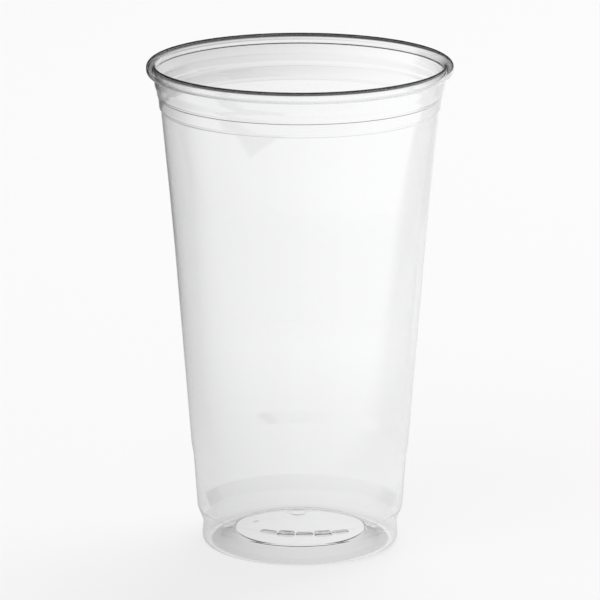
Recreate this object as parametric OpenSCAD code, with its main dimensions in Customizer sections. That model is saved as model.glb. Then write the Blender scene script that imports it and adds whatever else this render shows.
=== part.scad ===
// Clear thermoformed cold-drink cup with a rolled rim, for a 98 mm snap lid.
// One sheet runs from the middle of the floor, round the foot, up the wall and over into
// the rolled rim. The section is drawn as a path along the sheet's outer skin, each bend
// with its own radius and sheet thickness, and is turned once round the Z axis.
// Millimetres, +Z up, origin at the centre of the circle that the foot stands on.

/* [Rim] */
// Outer diameter of the rolled rim, which the lid snaps over
rim_d = 98; // [88:0.5:110]
// Height of the cup, from the table to the top of the rim
cup_h = 158.5; // [120:0.5:200]
// Width of the roll, from the inside of the mouth to its outer face
roll_w = 2.95; // [2.5:0.05:3.2]
// Height of the roll; what it has over its width is a straight land that holds the lid
roll_h = 3.7; // [3.1:0.05:4.5]
// Angle that the edge is curled on past the lowest point of the roll
curl_past = 35; // [0:5:40]
// Thickness of the sheet in the rim
rim_t = 0.36; // [0.3:0.02:0.5]

/* [Neck and stacking bands] */
// Depth of the straight neck, from the top of the rim
neck_h = 7; // [5:0.25:9]
// Height of the soft shoulder under the neck
shoulder_h = 1.8; // [1:0.1:3]
// How far the shoulder comes in
shoulder_in = 0.65; // [0.2:0.05:1.2]
// Height of the upper stacking band
band_1_h = 1.1; // [0.8:0.1:4]
// Height of the lower stacking band
band_2_h = 3.5; // [2:0.1:8]
// Height of the crease between the two bands
crease_1_h = 0.8; // [0.6:0.1:1.6]
// How far that crease comes in
crease_1_in = 0.4; // [0.1:0.05:0.8]
// Height of the crease between the lower band and the wall
crease_2_h = 0.9; // [0.7:0.1:3]
// How far that crease comes in
crease_2_in = 0.55; // [0.2:0.05:1.2]
// Radius of the bend between that crease and the wall
crease_bend = 0.9; // [0.5:0.1:2]
// Inward slope of the stacking bands, radius lost for each millimetre of height
band_slope = 0.09; // [0:0.01:0.12]

/* [Wall] */
// Depth below the stacking bands where the long wall's taper changes
flare_drop = 37; // [10:1:70]
// How far the wall lies inside a straight line there
flare_in = 0.45; // [0.1:0.05:1.5]
// Radius of the long soft bend there
flare_bend = 900; // [100:50:1200]
// Thickness of the sheet in the long wall
wall_t = 0.22; // [0.18:0.01:0.36]
// Radius of the soft bends in the wall
soft_bend = 4; // [1:0.5:6]
// Radius of the creases that show as lines
tight_bend = 0.6; // [0.45:0.05:0.8]

/* [Base band] */
// Height of the band, from the heel to the crease over it
base_band_h = 17.1; // [6:0.1:40]
// How much wider the band's radius is at its top
base_band_flare = 1.2; // [0:0.1:3]
// Height of the crease over the band
base_crease_h = 4.2; // [1:0.1:8]
// How far that crease comes in
base_crease_in = 0.7; // [0.2:0.05:1.2]

/* [Foot] */
// Outer diameter of the foot, where its side meets the table line
foot_d = 64; // [58:0.5:76]
// Radius of the rounding under the foot
foot_round = 1.9; // [1:0.1:2.2]
// Width from the foot's side to the inner edge of the ring that it stands on
stand_w = 3.4; // [3:0.1:6]
// Height of the waist over the foot
waist_z = 7; // [5.5:0.1:12]
// How far the waist's radius is inside the foot's
waist_in = 0.6; // [0.2:0.05:2]
// Radius of the bend at the waist
waist_bend = 1.5; // [0.5:0.1:2.5]
// Height of the heel's slope, from the waist to the base band
heel_h = 4.9; // [3:0.1:8]
// How far the heel's radius stands out past the waist's
heel_out = 1.95; // [0.5:0.05:3.5]
// Radius of the bend at the heel
heel_bend = 0.8; // [0.5:0.1:1.5]
// Thickness of the sheet in the foot
foot_t = 0.28; // [0.22:0.01:0.4]

/* [Floor] */
// Height of the underside of the floor at its outer edge
floor_z = 0.9; // [0.6:0.1:1.6]
// How far the floor's outer edge is inside the standing ring
floor_run = 3; // [2:0.1:4]
// Radius of the bends between the ring and the floor
stand_bend = 3; // [1:0.25:3.5]
// How much the floor rises on its way in to the centre panel
floor_rise = 1.9; // [1:0.1:3]
// Diameter of the raised centre panel
panel_d = 43.2; // [30:0.2:48]
// Height of the step up to the panel
panel_step = 0.8; // [0.4:0.1:1.6]
// Width of the slope of that step
panel_slope_w = 0.6; // [0.3:0.1:1.2]
// How much higher the panel is in its middle
panel_dome = 0.25; // [0.1:0.05:1]
// Thickness of the sheet in the floor
floor_t = 0.34; // [0.26:0.01:0.44]

/* [Hidden] */
// Finest turn between two neighbouring points of a bend, in degrees
bend_step = 10;
// Share of a side that its two bends may take between them
side_use = 0.96;
// Facets round the cup in a preview
turn_fn = 180;

rim_r = rim_d / 2;
roll_r = roll_w / 2;
roll_mid_r = rim_r - roll_r;
roll_top_z = cup_h - roll_r;
roll_low_z = cup_h - roll_h + roll_r;
// The outer skin of the sheet lies on the hollow side of the roll
curl_r = roll_r - rim_t;

neck_r = roll_mid_r - curl_r;
shoulder_z = cup_h - neck_h;
band_1_z = shoulder_z - shoulder_h;
band_1_r = neck_r - shoulder_in;
crease_1_z = band_1_z - band_1_h;
crease_1_r = band_1_r - band_slope * band_1_h;
band_2_z = crease_1_z - crease_1_h;
band_2_r = crease_1_r - crease_1_in;
crease_2_z = band_2_z - band_2_h;
crease_2_r = band_2_r - band_slope * band_2_h;
wall_top_z = crease_2_z - crease_2_h;
wall_top_r = crease_2_r - crease_2_in;

foot_r = foot_d / 2;
stand_r = foot_r - stand_w;
waist_r = foot_r - waist_in;
heel_r = waist_r + heel_out;
heel_z = waist_z + heel_h;
base_band_top_r = heel_r + base_band_flare;
base_band_top_z = heel_z + base_band_h;
wall_low_r = base_band_top_r + base_crease_in;
wall_low_z = base_band_top_z + base_crease_h;
flare_z = wall_top_z - flare_drop;
flare_share = (flare_z - wall_low_z) / (wall_top_z - wall_low_z);
flare_r = wall_low_r + (wall_top_r - wall_low_r) * flare_share - flare_in;

panel_r = panel_d / 2;
panel_foot_z = floor_z + floor_rise;
panel_z = panel_foot_z + panel_step;

function unit(v) = v / norm(v);
function left_of(d) = [-d[1], d[0]];
function turned(d, a) = [d[0] * cos(a) - d[1] * sin(a), d[0] * sin(a) + d[1] * cos(a)];
function spot(c) = [c[0], c[1]];
function signed_angle(d, e) = atan2(d[0] * e[1] - d[1] * e[0], d * e);

// A corner of the skin is [radius, height, bend radius, sheet thickness], and a station on
// the finished path is [point, direction into the sheet, sheet thickness].
function way(a, b) = unit(spot(b) - spot(a));
function turn_at(a, b, c) = signed_angle(way(a, b), way(b, c));
// Length that the bend at b takes from each of its two sides
function need(a, b, c) = b[2] * tan(abs(turn_at(a, b, c)) / 2);

// The bend at corner b, between its neighbours a and c, at a share k of its own radius
function bend(a, b, c, k) =
    let (
        din = way(a, b),
        phi = turn_at(a, b, c),
        r = sign(phi) * b[2] * k,
        start = spot(b) - din * need(a, b, c) * k,
        mid = start + r * left_of(din),
        n = max(1, ceil(abs(phi) / bend_step))
    )
    [for (i = [0 : n])
        let (d = turned(din, phi * i / n))
        [mid - r * left_of(d), left_of(d), b[3]]];

// Stations for a whole run of corners. Its two end corners only give a direction, and
// where two bends ask for more than the side between them, both are made smaller.
function run_of(c) =
    let (
        last = len(c) - 1,
        needs = [for (i = [0 : last])
            i == 0 || i == last ? 0 : need(c[i - 1], c[i], c[i + 1])],
        shares = [for (i = [0 : last - 1])
            min(1, side_use * norm(spot(c[i + 1]) - spot(c[i])) / (needs[i] + needs[i + 1]))]
    )
    [for (i = [1 : last - 1])
        each bend(c[i - 1], c[i], c[i + 1], min(shares[i - 1], shares[i]))];

floor_corners = [
    [-panel_r, panel_z, 0, floor_t],
    [0, panel_z + panel_dome, panel_r / 2, floor_t],
    [panel_r - panel_slope_w, panel_z, tight_bend, floor_t],
    [panel_r, panel_foot_z, tight_bend, floor_t],
    [stand_r - floor_run, floor_z, stand_bend, floor_t]];

foot_corners = [
    [stand_r, 0, stand_bend, foot_t],
    [foot_r, 0, foot_round, foot_t],
    [waist_r, waist_z, waist_bend, foot_t],
    [heel_r, heel_z, heel_bend, foot_t]];

wall_corners = [
    [base_band_top_r, base_band_top_z, soft_bend, wall_t],
    [wall_low_r, wall_low_z, soft_bend, wall_t],
    [flare_r, flare_z, flare_bend, wall_t]];

neck_corners = [
    [wall_top_r, wall_top_z, crease_bend, wall_t],
    [crease_2_r, crease_2_z, tight_bend, wall_t],
    [band_2_r, band_2_z, tight_bend, rim_t],
    [crease_1_r, crease_1_z, tight_bend, rim_t],
    [band_1_r, band_1_z, soft_bend, rim_t],
    [neck_r, shoulder_z, soft_bend, rim_t],
    [neck_r, roll_top_z, 0, rim_t]];

// The roll: over the top, down the land, and round past its lowest point
function curl(mid_z, from, to) =
    let (n = ceil(abs(to - from) / bend_step))
    [for (k = [0 : n])
        let (a = from + (to - from) * k / n, d = [cos(a), sin(a)])
        [[roll_mid_r, mid_z] + curl_r * d, d, rim_t]];

roll = concat(curl(roll_top_z, 180, 0), curl(roll_low_z, 0, -90 - curl_past));

sheet = concat(
    run_of(concat(floor_corners, foot_corners, wall_corners, neck_corners)),
    roll);
// The path starts left of the axis, so that the panel is level in its middle
half_sheet = [for (s = sheet) if (s[0][0] > 0) s];

module section() {
    skin = [for (s = half_sheet) s[0]];
    inside = [for (s = half_sheet) s[0] + s[2] * s[1]];
    count = len(inside);
    polygon(concat(
        [[0, half_sheet[0][0][1]]],
        skin,
        [for (i = [1 : count]) inside[count - i]],
        [[0, inside[0][1]]]));
}

module cup() {
    color([0.92, 0.94, 0.95, 0.45])
        rotate_extrude($fn = turn_fn) section();
}

cup();
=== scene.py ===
import math

import bpy
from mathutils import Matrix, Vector


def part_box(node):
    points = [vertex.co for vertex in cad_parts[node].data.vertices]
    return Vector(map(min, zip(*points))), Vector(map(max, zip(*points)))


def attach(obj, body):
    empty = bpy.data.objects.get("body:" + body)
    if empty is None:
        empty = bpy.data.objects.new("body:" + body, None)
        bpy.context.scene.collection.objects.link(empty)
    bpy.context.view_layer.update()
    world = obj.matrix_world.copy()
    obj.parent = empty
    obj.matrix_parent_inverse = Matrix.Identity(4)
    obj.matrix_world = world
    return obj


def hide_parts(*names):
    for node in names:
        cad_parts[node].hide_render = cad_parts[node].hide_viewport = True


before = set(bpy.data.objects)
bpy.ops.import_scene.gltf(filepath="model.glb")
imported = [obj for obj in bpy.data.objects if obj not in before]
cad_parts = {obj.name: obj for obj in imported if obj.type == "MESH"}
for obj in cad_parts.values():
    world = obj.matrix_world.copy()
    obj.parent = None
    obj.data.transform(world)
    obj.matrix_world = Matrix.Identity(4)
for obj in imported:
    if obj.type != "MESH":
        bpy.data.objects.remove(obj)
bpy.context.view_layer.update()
cupLow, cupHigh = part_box("cup")
mm = 0.001
print("scene: frame loaded")


# The cup is one sheet. Its section is a path along the outer skin, from the middle of
# the floor to the curled edge. Millimetres, heights above the table.
cupSize = {
    "rimRadius": (cupHigh[1] - cupLow[1]) / 2 / mm,
    "height": cupHigh[2] / mm,
    "rollWidth": 2.95,
    "rollHeight": 3.7,
    "curlPast": 35,              # degrees that the edge is curled past the roll's lowest point
    "neckHeight": 7,
    "shoulder": (1.8, 0.65),     # height, and how far it comes in
    "upperBand": 1.1,
    "upperCrease": (0.8, 0.4),
    "lowerBand": 3.5,
    "lowerCrease": (0.9, 0.55),
    "bandSlope": 0.09,
    "flareDrop": 37,             # depth below the bands where the wall's taper changes
    "flareIn": 0.45,
    "baseBand": (17.1, 1.2),     # height, and how much wider it is at its top
    "baseCrease": (4.2, 0.7),
    "footRadius": 32,
    "standWidth": 3.4,
    "waist": (7, 0.6),           # height, and how far it is inside the foot
    "heel": (4.9, 1.95),         # height of the slope, and how far it stands out
    "floorHeight": 0.9,
    "floorRun": 3,
    "floorRise": 1.9,
    "panelRadius": 21.6,
    "panelStep": (0.8, 0.6),     # height and width of the slope
    "panelDome": 0.25,
    "turns": 256,                # points round the cup
    "bendStep": 7.5,             # degrees between two points of a bend
    "bendShare": 0.96,           # share of a side that its two bends may take
    "seamGap": 0.002,            # points closer than this are merged after the spin
    "smoothAngle": 50,           # degrees, edges sharper than this stay sharp
}
sheetThick = {"rim": 0.36, "wall": 0.22, "foot": 0.28, "floor": 0.42}
bendRadius = {"soft": 4, "tight": 0.6, "crease": 0.9, "panel": 0.35, "stand": 3, "foot": 1.9,
              "waist": 1.5, "heel": 0.8, "flare": 900}

# Plain raised marks on the floor panel, in millimetres and degrees: a row of bars and
# frames on a shallow arc at the front, a plain ring at the back and a dot at the side.
markSize = {
    "gridStep": 0.25,            # spacing of the rings that carry the marks
    "gridFrom": 6.8,
    "gridTo": 18.8,
    "rowMiddle": (1.5, 19.5),    # middle of the arc that the row follows
    "rowRadius": (27.1, 30.1),
    "rowTurn": 30,               # half of the arc's angle
    "rowCount": 5,
    "rowFill": 0.7,              # how much of its share of the row each mark takes
    "stroke": 0.5,
    "ring": (-0.7, 14.8, 3.0),   # middle and radius
    "dot": (-14.2, 4.6, 0.7),
    "lift": {"row": 0.42, "faint": 0.06},
    "softness": 0.5,             # width of the slope round each mark
}


def leftOf(d):
    return Vector((-d.y, d.x))


def turned(d, angle):
    return Vector((d.x * math.cos(angle) - d.y * math.sin(angle),
                   d.x * math.sin(angle) + d.y * math.cos(angle)))


def wayBetween(a, b):
    return Vector((b[0] - a[0], b[1] - a[1])).normalized()


def turnAt(a, b, c):
    d, e = wayBetween(a, b), wayBetween(b, c)
    return math.atan2(d.x * e.y - d.y * e.x, d.dot(e))


def bendNeed(a, b, c):
    return b[2] * math.tan(abs(turnAt(a, b, c)) / 2)  # what the bend at b takes of each side


def bendPoints(a, b, c, share):
    way, angle = wayBetween(a, b), turnAt(a, b, c)
    radius = math.copysign(b[2] * share, angle)
    middle = Vector(b[:2]) - way * bendNeed(a, b, c) * share + radius * leftOf(way)
    count = max(1, math.ceil(abs(math.degrees(angle)) / cupSize["bendStep"]))
    return [(middle - radius * leftOf(turned(way, angle * i / count)), b[3])
            for i in range(count + 1)]


def roundedRun(corners):
    # corners are (radius, height, bend radius, sheet); the two end ones only give a direction
    last = len(corners) - 1
    needs = [0] + [bendNeed(*corners[i - 1:i + 2]) for i in range(1, last)] + [0]
    shares = []
    for i in range(last):
        side = (Vector(corners[i + 1][:2]) - Vector(corners[i][:2])).length
        shares.append(min(1, cupSize["bendShare"] * side / (needs[i] + needs[i + 1])))
    found = []
    for i in range(1, last):
        found += bendPoints(*corners[i - 1:i + 2], min(shares[i - 1], shares[i]))
    return found


def cornerList():
    s, sheet, bend = cupSize, sheetThick, bendRadius
    curl = s["rollWidth"] / 2 - sheet["rim"]
    neckRadius = s["rimRadius"] - s["rollWidth"] / 2 - curl

    # floor and foot, going out and up
    panel, step, slope = s["panelRadius"], *s["panelStep"]
    panelFoot = s["floorHeight"] + s["floorRise"]
    stand = s["footRadius"] - s["standWidth"]
    waist = (s["footRadius"] - s["waist"][1], s["waist"][0])
    heel = (waist[0] + s["heel"][1], waist[1] + s["heel"][0])
    corners = [
        (-panel, panelFoot + step, 0, sheet["floor"]),
        (0, panelFoot + step + s["panelDome"], panel / 2, sheet["floor"]),
        (panel - slope, panelFoot + step, bend["panel"], sheet["floor"]),
        (panel, panelFoot, bend["panel"], sheet["floor"]),
        (stand - s["floorRun"], s["floorHeight"], bend["stand"], sheet["floor"]),
        (stand, 0, bend["stand"], sheet["foot"]),
        (s["footRadius"], 0, bend["foot"], sheet["foot"]),
        (*waist, bend["waist"], sheet["foot"]),
        (*heel, bend["heel"], sheet["foot"]),
    ]

    # stacking bands, worked out from the neck down
    upper = [(neckRadius, s["height"] - s["rollWidth"] / 2, 0, sheet["rim"])]
    radius, height = neckRadius, s["height"] - s["neckHeight"]
    upper.append((radius, height, bend["soft"], sheet["rim"]))
    steps = [
        (*s["shoulder"], bend["soft"], sheet["rim"]),
        (s["upperBand"], s["bandSlope"] * s["upperBand"], bend["tight"], sheet["rim"]),
        (*s["upperCrease"], bend["tight"], sheet["rim"]),
        (s["lowerBand"], s["bandSlope"] * s["lowerBand"], bend["tight"], sheet["wall"]),
        (*s["lowerCrease"], bend["crease"], sheet["wall"]),
    ]
    for drop, inwards, softness, thick in steps:
        height -= drop
        radius -= inwards
        upper.append((radius, height, softness, thick))
    wallTop = Vector((radius, height))

    # base band and long wall
    top = Vector(heel) + Vector((s["baseBand"][1], s["baseBand"][0]))
    wallLow = top + Vector((s["baseCrease"][1], s["baseCrease"][0]))
    share = (wallTop.y - s["flareDrop"] - wallLow.y) / (wallTop.y - wallLow.y)
    flare = wallLow.lerp(wallTop, share) - Vector((s["flareIn"], 0))
    corners += [
        (*top, bend["soft"], sheet["wall"]),
        (*wallLow, bend["soft"], sheet["wall"]),
        (*flare, bend["flare"], sheet["wall"]),
    ]
    return corners + upper[::-1]


def rollPoints():
    s = cupSize
    half = s["rollWidth"] / 2
    curl = half - sheetThick["rim"]
    middle = s["rimRadius"] - half
    arcs = [(s["height"] - half, 180, 0),
            (s["height"] - s["rollHeight"] + half, 0, -90 - s["curlPast"])]
    found = []
    for height, first, last in arcs:
        count = math.ceil(abs(last - first) / s["bendStep"])
        for k in range(count + 1):
            angle = math.radians(first + (last - first) * k / count)
            found.append((Vector((middle + curl * math.cos(angle),
                                  height + curl * math.sin(angle))), sheetThick["rim"]))
    return found


def sectionPoints():
    path = [p for p in roundedRun(cornerList()) + rollPoints() if p[0].x > 0]
    # the panel gets close rings where its marks go
    inner = [p for p in path if p[0].x < markSize["gridFrom"]]
    outer = [p for p in path if p[0].x > markSize["gridTo"]]
    a, b = inner[-1][0], outer[0][0]
    count = round((markSize["gridTo"] - markSize["gridFrom"]) / markSize["gridStep"])
    rings = []
    for k in range(count + 1):
        radius = markSize["gridFrom"] + k * markSize["gridStep"]
        rings.append((a.lerp(b, (radius - a.x) / (b.x - a.x)), sheetThick["floor"]))
    return inner + rings + outer


def deselectEverything():
    if bpy.context.object and bpy.context.object.mode != "OBJECT":
        bpy.ops.object.mode_set(mode="OBJECT")
    bpy.ops.object.select_all(action="DESELECT")


def spinSheet(points):
    # one point is drawn out along the section, and the line is spun round the axis
    deselectEverything()
    bpy.ops.mesh.primitive_plane_add(size=mm, location=(0, 0, 0), enter_editmode=True)
    cup = bpy.context.object
    cup.name = cup.data.name = "clear_cup"
    bpy.ops.mesh.merge(type="CENTER")
    at = Vector((0, points[0][0].y))
    bpy.ops.transform.translate(value=(0, 0, at.y * mm))
    for spot, _ in points:
        move = (spot - at) * mm
        bpy.ops.mesh.extrude_region_move(TRANSFORM_OT_translate={"value": (move.x, 0, move.y)})
        at = spot
    bpy.ops.object.mode_set(mode="OBJECT")
    weighSheet(cup, points)
    bpy.ops.object.mode_set(mode="EDIT")
    bpy.ops.mesh.select_all(action="SELECT")
    bpy.ops.mesh.spin(steps=cupSize["turns"], angle=math.tau, center=(0, 0, 0), axis=(0, 0, 1))
    bpy.ops.mesh.select_all(action="SELECT")
    bpy.ops.mesh.remove_doubles(threshold=cupSize["seamGap"] * mm)
    bpy.ops.mesh.normals_make_consistent(inside=False)
    bpy.ops.object.mode_set(mode="OBJECT")
    halfWay = cupSize["height"] / 2 * mm
    wall = next(f for f in cup.data.polygons if abs(f.center.z - halfWay) < halfWay / 2)
    if wall.normal.dot(Vector((wall.center.x, wall.center.y, 0))) < 0:
        bpy.ops.object.mode_set(mode="EDIT")
        bpy.ops.mesh.flip_normals()
        bpy.ops.object.mode_set(mode="OBJECT")
    return cup


def weighSheet(cup, points):
    # a point's weight is its share of the thickest sheet, and the spin copies it round
    group = cup.vertex_groups.new(name="sheet")
    sheets = [points[0][1]] + [p[1] for p in points]
    for vertex, sheet in zip(cup.data.vertices, sheets):
        group.add([vertex.index], sheet / max(sheetThick.values()), "REPLACE")


def inRow(x, y):
    m = markSize
    radius = math.hypot(x - m["rowMiddle"][0], y - m["rowMiddle"][1])
    angle = math.degrees(math.atan2(x - m["rowMiddle"][0], m["rowMiddle"][1] - y))
    share = (angle / m["rowTurn"] + 1) / 2 * m["rowCount"]
    across = abs(share % 1 - 0.5) * 2
    low, high = m["rowRadius"]
    if not (low < radius < high and 0 < share < m["rowCount"] and across < m["rowFill"]):
        return False
    if int(share) % 2:  # a plain frame
        step = math.radians(2 * m["rowTurn"] / m["rowCount"])
        edge = (m["rowFill"] - across) / 2 * radius * step
        return min(radius - low, high - radius, edge) < m["stroke"]
    return abs(radius - (low + high) / 2) < m["stroke"]


def isFaint(x, y):
    m = markSize
    offRing = math.hypot(x - m["ring"][0], y - m["ring"][1]) - m["ring"][2]
    offDot = math.hypot(x - m["dot"][0], y - m["dot"][1]) - m["dot"][2]
    return abs(offRing) < m["stroke"] / 2 or offDot < 0


def raiseMarks(cup):
    for test, lift in ((inRow, markSize["lift"]["row"]), (isFaint, markSize["lift"]["faint"])):
        deselectEverything()
        bpy.context.view_layer.objects.active = cup
        cup.select_set(True)
        bpy.ops.object.mode_set(mode="EDIT")
        bpy.ops.mesh.select_mode(type="FACE")
        bpy.ops.mesh.select_all(action="DESELECT")
        bpy.ops.object.mode_set(mode="OBJECT")
        for face in cup.data.polygons:
            face.select = test(face.center.x / mm, face.center.y / mm)
        bpy.ops.object.mode_set(mode="EDIT")
        bpy.ops.transform.translate(value=(0, 0, lift * mm), use_proportional_edit=True,
                                    proportional_edit_falloff="SMOOTH",
                                    proportional_size=markSize["softness"] * mm)
        bpy.ops.object.mode_set(mode="OBJECT")


def thickenSheet(cup):
    wall = cup.modifiers.new("sheet", "SOLIDIFY")
    wall.thickness = max(sheetThick.values()) * mm
    wall.offset = -1
    wall.use_even_offset = True
    wall.use_quality_normals = True
    wall.vertex_group = "sheet"
    bpy.context.view_layer.objects.active = cup
    bpy.ops.object.modifier_apply(modifier=wall.name)


def smoothCup(cup):
    deselectEverything()
    bpy.context.view_layer.objects.active = cup
    cup.select_set(True)
    bpy.ops.object.shade_smooth_by_angle(angle=math.radians(cupSize["smoothAngle"]))


def newMaterial(name):
    material = bpy.data.materials.new(name)
    material.use_nodes = True
    tree = material.node_tree
    tree.nodes.clear()
    return material, tree.nodes, tree.links


clearLook = {
    "colour": (0.994, 0.996, 0.996, 1),
    "ior": 1.57,
    "roughness": (0.012, 0.03),
    "waveSize": 55,              # waves to a metre, round the cup
    "waveDetail": 2,
    "waveStretch": 0.35,         # their scale up the wall, less is longer
    "waveDepth": 0.00003,
    "waveStrength": 0.35,
}


def clearPlastic():
    material, nodes, links = newMaterial("clear_plastic")
    place = nodes.new("ShaderNodeTexCoord")
    stretch = nodes.new("ShaderNodeMapping")
    stretch.inputs["Scale"].default_value = (1, 1, clearLook["waveStretch"])
    waves = nodes.new("ShaderNodeTexNoise")
    waves.inputs["Scale"].default_value = clearLook["waveSize"]
    waves.inputs["Detail"].default_value = clearLook["waveDetail"]
    bump = nodes.new("ShaderNodeBump")
    bump.inputs["Strength"].default_value = clearLook["waveStrength"]
    bump.inputs["Distance"].default_value = clearLook["waveDepth"]
    gloss = nodes.new("ShaderNodeMapRange")
    gloss.inputs["To Min"].default_value = clearLook["roughness"][0]
    gloss.inputs["To Max"].default_value = clearLook["roughness"][1]
    shader = nodes.new("ShaderNodeBsdfPrincipled")
    shader.inputs["Base Color"].default_value = clearLook["colour"]
    shader.inputs["IOR"].default_value = clearLook["ior"]
    shader.inputs["Transmission Weight"].default_value = 1
    out = nodes.new("ShaderNodeOutputMaterial")
    links.new(place.outputs["Object"], stretch.inputs["Vector"])
    links.new(stretch.outputs["Vector"], waves.inputs["Vector"])
    links.new(waves.outputs["Fac"], bump.inputs["Height"])
    links.new(waves.outputs["Fac"], gloss.inputs["Value"])
    links.new(gloss.outputs["Result"], shader.inputs["Roughness"])
    links.new(bump.outputs["Normal"], shader.inputs["Normal"])
    links.new(shader.outputs["BSDF"], out.inputs["Surface"])
    return material


def makeCup():
    points = sectionPoints()
    cup = spinSheet(points)
    raiseMarks(cup)
    thickenSheet(cup)
    smoothCup(cup)
    cup.data.materials.clear()
    cup.data.materials.append(clearPlastic())
    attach(cup, "root")
    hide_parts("cup")
    print("scene: cup made,", len(cup.data.polygons), "faces")


def rampNode(nodes, links, source, first, last, low, high):
    ramp = nodes.new("ShaderNodeMapRange")
    ramp.interpolation_type = "SMOOTHSTEP"
    ramp.inputs["From Min"].default_value = first
    ramp.inputs["From Max"].default_value = last
    ramp.inputs["To Min"].default_value = low
    ramp.inputs["To Max"].default_value = high
    links.new(source, ramp.inputs["Value"])
    return ramp.outputs["Result"]


def mathNode(nodes, links, operation, *sources):
    step = nodes.new("ShaderNodeMath")
    step.operation = operation
    for spot, source in enumerate(sources):
        if isinstance(source, float):
            step.inputs[spot].default_value = source
        else:
            links.new(source, step.inputs[spot])
    return step.outputs["Value"]


def mixedValue(nodes, links, share, first, second):
    mix = nodes.new("ShaderNodeMix")
    links.new(share, mix.inputs["Factor"])
    for name, source in (("A", first), ("B", second)):
        if isinstance(source, float):
            mix.inputs[name].default_value = source
        else:
            links.new(source, mix.inputs[name])
    return mix.outputs["Result"]


floorLook = {
    "radius": 30.0,
    "sides": 96,
    "colour": (0.9, 0.9, 0.9, 1),
    "ownWhite": 0.8,             # share of the floor's look that is its own white
    "level": 0.97,               # the floor and the sky as the camera sees them
    # painted light and shade in the white seen through the plastic: a painted shadow close round
    # the cup, painted shade far away and to the left, a painted pool of white in front
    # first and last distance or place in metres, then the level at each
    "paintedShadowIn": (0.03, 0.08, 0.92, 1.0),
    "paintedShadowOut": (0.08, 0.3, 0.9, 1.0),
    "far": (0.72, 1.08, 1.0, 0.03),
    "farLean": -0.9,             # how much farther the white goes on the right
    "left": (-0.2, 0.04, 0.25, 1.0),
    "leftReach": 0.45,           # distance from which the left fade spreads with the view
    "front": (-0.15, 0.15, 0.95, 0.0),
    "frontLean": 0.4,            # how the front's white spreads back on the left
}


def paintedFloorShade(nodes, links):
    # the white that shows through the plastic, with painted light and shade in it: a painted
    #     # shadow makes it a little less white close round the cup, painted shade fades it to
    #     the left
    #     # and far away, and a painted pool of white lies in front
    look = floorLook
    place = nodes.new("ShaderNodeTexCoord")
    parts = nodes.new("ShaderNodeSeparateXYZ")
    reach = nodes.new("ShaderNodeVectorMath")
    reach.operation = "LENGTH"
    links.new(place.outputs["Object"], parts.inputs["Vector"])
    links.new(place.outputs["Object"], reach.inputs[0])
    distance, sideways = reach.outputs["Value"], parts.outputs["X"]
    paintedShadowNearCup = mathNode(nodes, links, "MULTIPLY",
                       rampNode(nodes, links, distance, *look["paintedShadowIn"]),
                       rampNode(nodes, links, distance, *look["paintedShadowOut"]))
    leaning = mathNode(nodes, links, "MULTIPLY_ADD", sideways, look["farLean"], distance)
    far = rampNode(nodes, links, leaning, *look["far"])
    spread = mathNode(nodes, links, "MULTIPLY", sideways, distance)
    ahead = mathNode(nodes, links, "MULTIPLY_ADD", spread, look["frontLean"], parts.outputs["Y"])
    front = rampNode(nodes, links, ahead, *look["front"])
    farther = mathNode(nodes, links, "MAXIMUM", distance, look["leftReach"])
    aside = mathNode(nodes, links, "MULTIPLY", sideways,
                     mathNode(nodes, links, "DIVIDE", look["leftReach"], farther))
    left = rampNode(nodes, links, aside, *look["left"])
    rear = mathNode(nodes, links, "MULTIPLY", far, left)
    white = mathNode(nodes, links, "MAXIMUM", rear, front)
    return mathNode(nodes, links, "MULTIPLY", paintedShadowNearCup, white)


def makeFloor():
    deselectEverything()
    bpy.ops.mesh.primitive_circle_add(vertices=floorLook["sides"], radius=floorLook["radius"],
                                      fill_type="NGON", location=(0, 0, 0))
    ground = bpy.context.object
    ground.name = ground.data.name = "floor"
    material, nodes, links = newMaterial("pale_floor")
    paint = nodes.new("ShaderNodeBsdfDiffuse")
    paint.inputs["Color"].default_value = floorLook["colour"]
    path = nodes.new("ShaderNodeLightPath")
    straight = path.outputs["Is Camera Ray"]
    through = mathNode(nodes, links, "MAXIMUM", path.outputs["Is Glossy Ray"],
                       path.outputs["Is Transmission Ray"])
    glow = nodes.new("ShaderNodeEmission")
    # painted light and shade: rays through the plastic see the floor's painted shadow and fades,
    # the camera sees it evenly white
    level = mixedValue(nodes, links, straight, paintedFloorShade(nodes, links), floorLook["level"])
    links.new(level, glow.inputs["Strength"])
    mix = nodes.new("ShaderNodeMixShader")
    out = nodes.new("ShaderNodeOutputMaterial")
    kept = mathNode(nodes, links, "MULTIPLY", straight, floorLook["ownWhite"])
    links.new(mathNode(nodes, links, "MAXIMUM", kept, through), mix.inputs["Fac"])
    links.new(paint.outputs["BSDF"], mix.inputs[1])
    links.new(glow.outputs["Emission"], mix.inputs[2])
    links.new(mix.outputs["Shader"], out.inputs["Surface"])
    ground.data.materials.append(material)


cardLook = {
    "middle": (0, 0.15, 0.05),
    "size": (0.13, 0.06),        # width and height
    "softFrom": 0.25,            # where its edges start fading, as a share of its size
    "level": 0.97,
}


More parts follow.
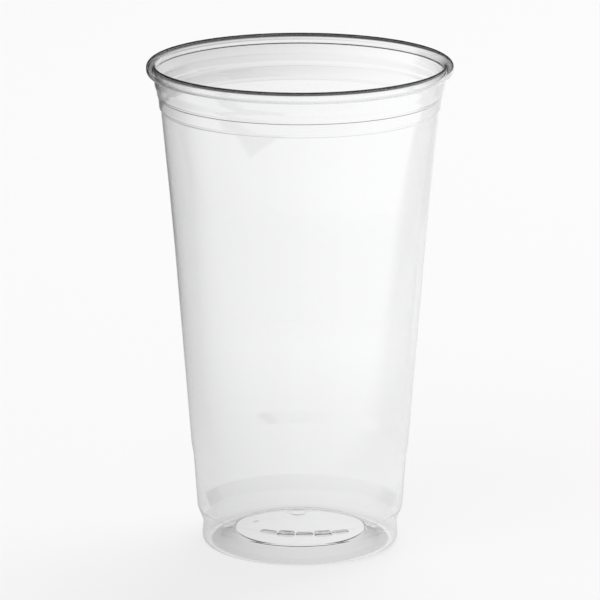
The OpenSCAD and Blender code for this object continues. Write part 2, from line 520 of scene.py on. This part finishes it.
def makeCard():
    # a low white card behind the cup that its floor mirrors; the camera does not see it
    deselectEverything()
    bpy.ops.mesh.primitive_plane_add(size=1, location=cardLook["middle"],
                                     rotation=(math.radians(90), 0, 0))
    card = bpy.context.object
    card.name = card.data.name = "card"
    width, height = cardLook["size"]
    bpy.ops.transform.resize(value=(width, 1, height))
    card.visible_camera = card.visible_diffuse = card.visible_shadow = False
    material, nodes, links = newMaterial("white_card")
    glow = nodes.new("ShaderNodeEmission")
    clear = nodes.new("ShaderNodeBsdfTransparent")
    place = nodes.new("ShaderNodeTexCoord")
    parts = nodes.new("ShaderNodeSeparateXYZ")
    links.new(place.outputs["Object"], parts.inputs["Vector"])
    aside = mathNode(nodes, links, "ABSOLUTE", parts.outputs["X"])
    above = mathNode(nodes, links, "ABSOLUTE", parts.outputs["Y"])
    first, last, low, high = floorLook["left"]  # painted shade: it fades to the left as the floor does
    faded = rampNode(nodes, links, parts.outputs["X"], first / width, last / width, low, high)
    links.new(mathNode(nodes, links, "MULTIPLY", faded, cardLook["level"]),
              glow.inputs["Strength"])
    softEdge = (cardLook["softFrom"], 0.5, 1.0, 0.0)
    shown = mathNode(nodes, links, "MULTIPLY", rampNode(nodes, links, aside, *softEdge),
                     rampNode(nodes, links, above, *softEdge))
    mix = nodes.new("ShaderNodeMixShader")
    out = nodes.new("ShaderNodeOutputMaterial")
    links.new(shown, mix.inputs["Fac"])
    links.new(clear.outputs["BSDF"], mix.inputs[1])
    links.new(glow.outputs["Emission"], mix.inputs[2])
    links.new(mix.outputs["Shader"], out.inputs["Surface"])
    card.data.materials.append(material)


# the sky that the plastic shows: first and last part of the direction, then the level at each
skyLook = {
    "dark": (0.03, 0.1, 0.03, 0.0),
    "front": (0.1, 0.4, 0.95, 0.0),
    "frontLow": (0.1, 0.25, 1.0, 0.0),
    "frontHigh": (0.55, 0.75, 0.45, 0.0),
}


def makeSky():
    world = bpy.data.worlds.new("studio_sky")
    bpy.context.scene.world = world
    world.use_nodes = True
    nodes, links = world.node_tree.nodes, world.node_tree.links
    nodes.clear()
    place = nodes.new("ShaderNodeTexCoord")
    parts = nodes.new("ShaderNodeSeparateXYZ")
    path = nodes.new("ShaderNodeLightPath")
    links.new(place.outputs["Generated"], parts.inputs["Vector"])
    dark = rampNode(nodes, links, parts.outputs["Z"], *skyLook["dark"])
    upward = mathNode(nodes, links, "MAXIMUM",
                      rampNode(nodes, links, parts.outputs["Z"], *skyLook["frontLow"]),
                      rampNode(nodes, links, parts.outputs["Z"], *skyLook["frontHigh"]))
    front = mathNode(nodes, links, "MULTIPLY", upward,
                     rampNode(nodes, links, parts.outputs["Y"], *skyLook["front"]))
    level = mixedValue(nodes, links, path.outputs["Is Camera Ray"],
                       mathNode(nodes, links, "MAXIMUM", dark, front), floorLook["level"])
    glow = nodes.new("ShaderNodeBackground")
    out = nodes.new("ShaderNodeOutputWorld")
    links.new(level, glow.inputs["Strength"])
    links.new(glow.outputs["Background"], out.inputs["Surface"])


lampSetup = {  # place, size and power
    "key": ((0.5, 0.9, 1.7), 1.4, 34),
    "fill": ((-0.6, -0.9, 1.5), 1.4, 12),
}


def addSoftbox(name, place, size, power):
    deselectEverything()
    bpy.ops.object.light_add(type="AREA", location=place)
    lamp = bpy.context.object
    lamp.name = name
    lamp.data.shape = "SQUARE"
    lamp.data.size = size
    lamp.data.energy = power
    lamp.visible_glossy = False        # it lights the floor and stays out of the plastic
    lamp.visible_transmission = False
    lamp.rotation_euler = (-Vector(place)).to_track_quat("-Z", "Y").to_euler()


cameraSetup = {
    "target": (0, 0, 80.18 * mm),
    "distance": 1.525,
    "elevation": 14.45,
    "lens": 283.8,
}


def makeCamera():
    look = cameraSetup
    tilt = math.radians(look["elevation"])
    away = Vector((0, -math.cos(tilt), math.sin(tilt)))
    place = Vector(look["target"]) + away * look["distance"]
    bpy.ops.object.camera_add(location=place,
                              rotation=(-away).to_track_quat("-Z", "Y").to_euler())
    camera = bpy.context.object
    camera.data.lens = look["lens"]
    bpy.context.scene.camera = camera


makeCup()
makeFloor()
makeCard()
makeSky()
for lampName, lamp in lampSetup.items():
    addSoftbox(lampName, *lamp)
makeCamera()
bpy.context.scene.view_settings.view_transform = "Standard"
print("scene: studio ready")
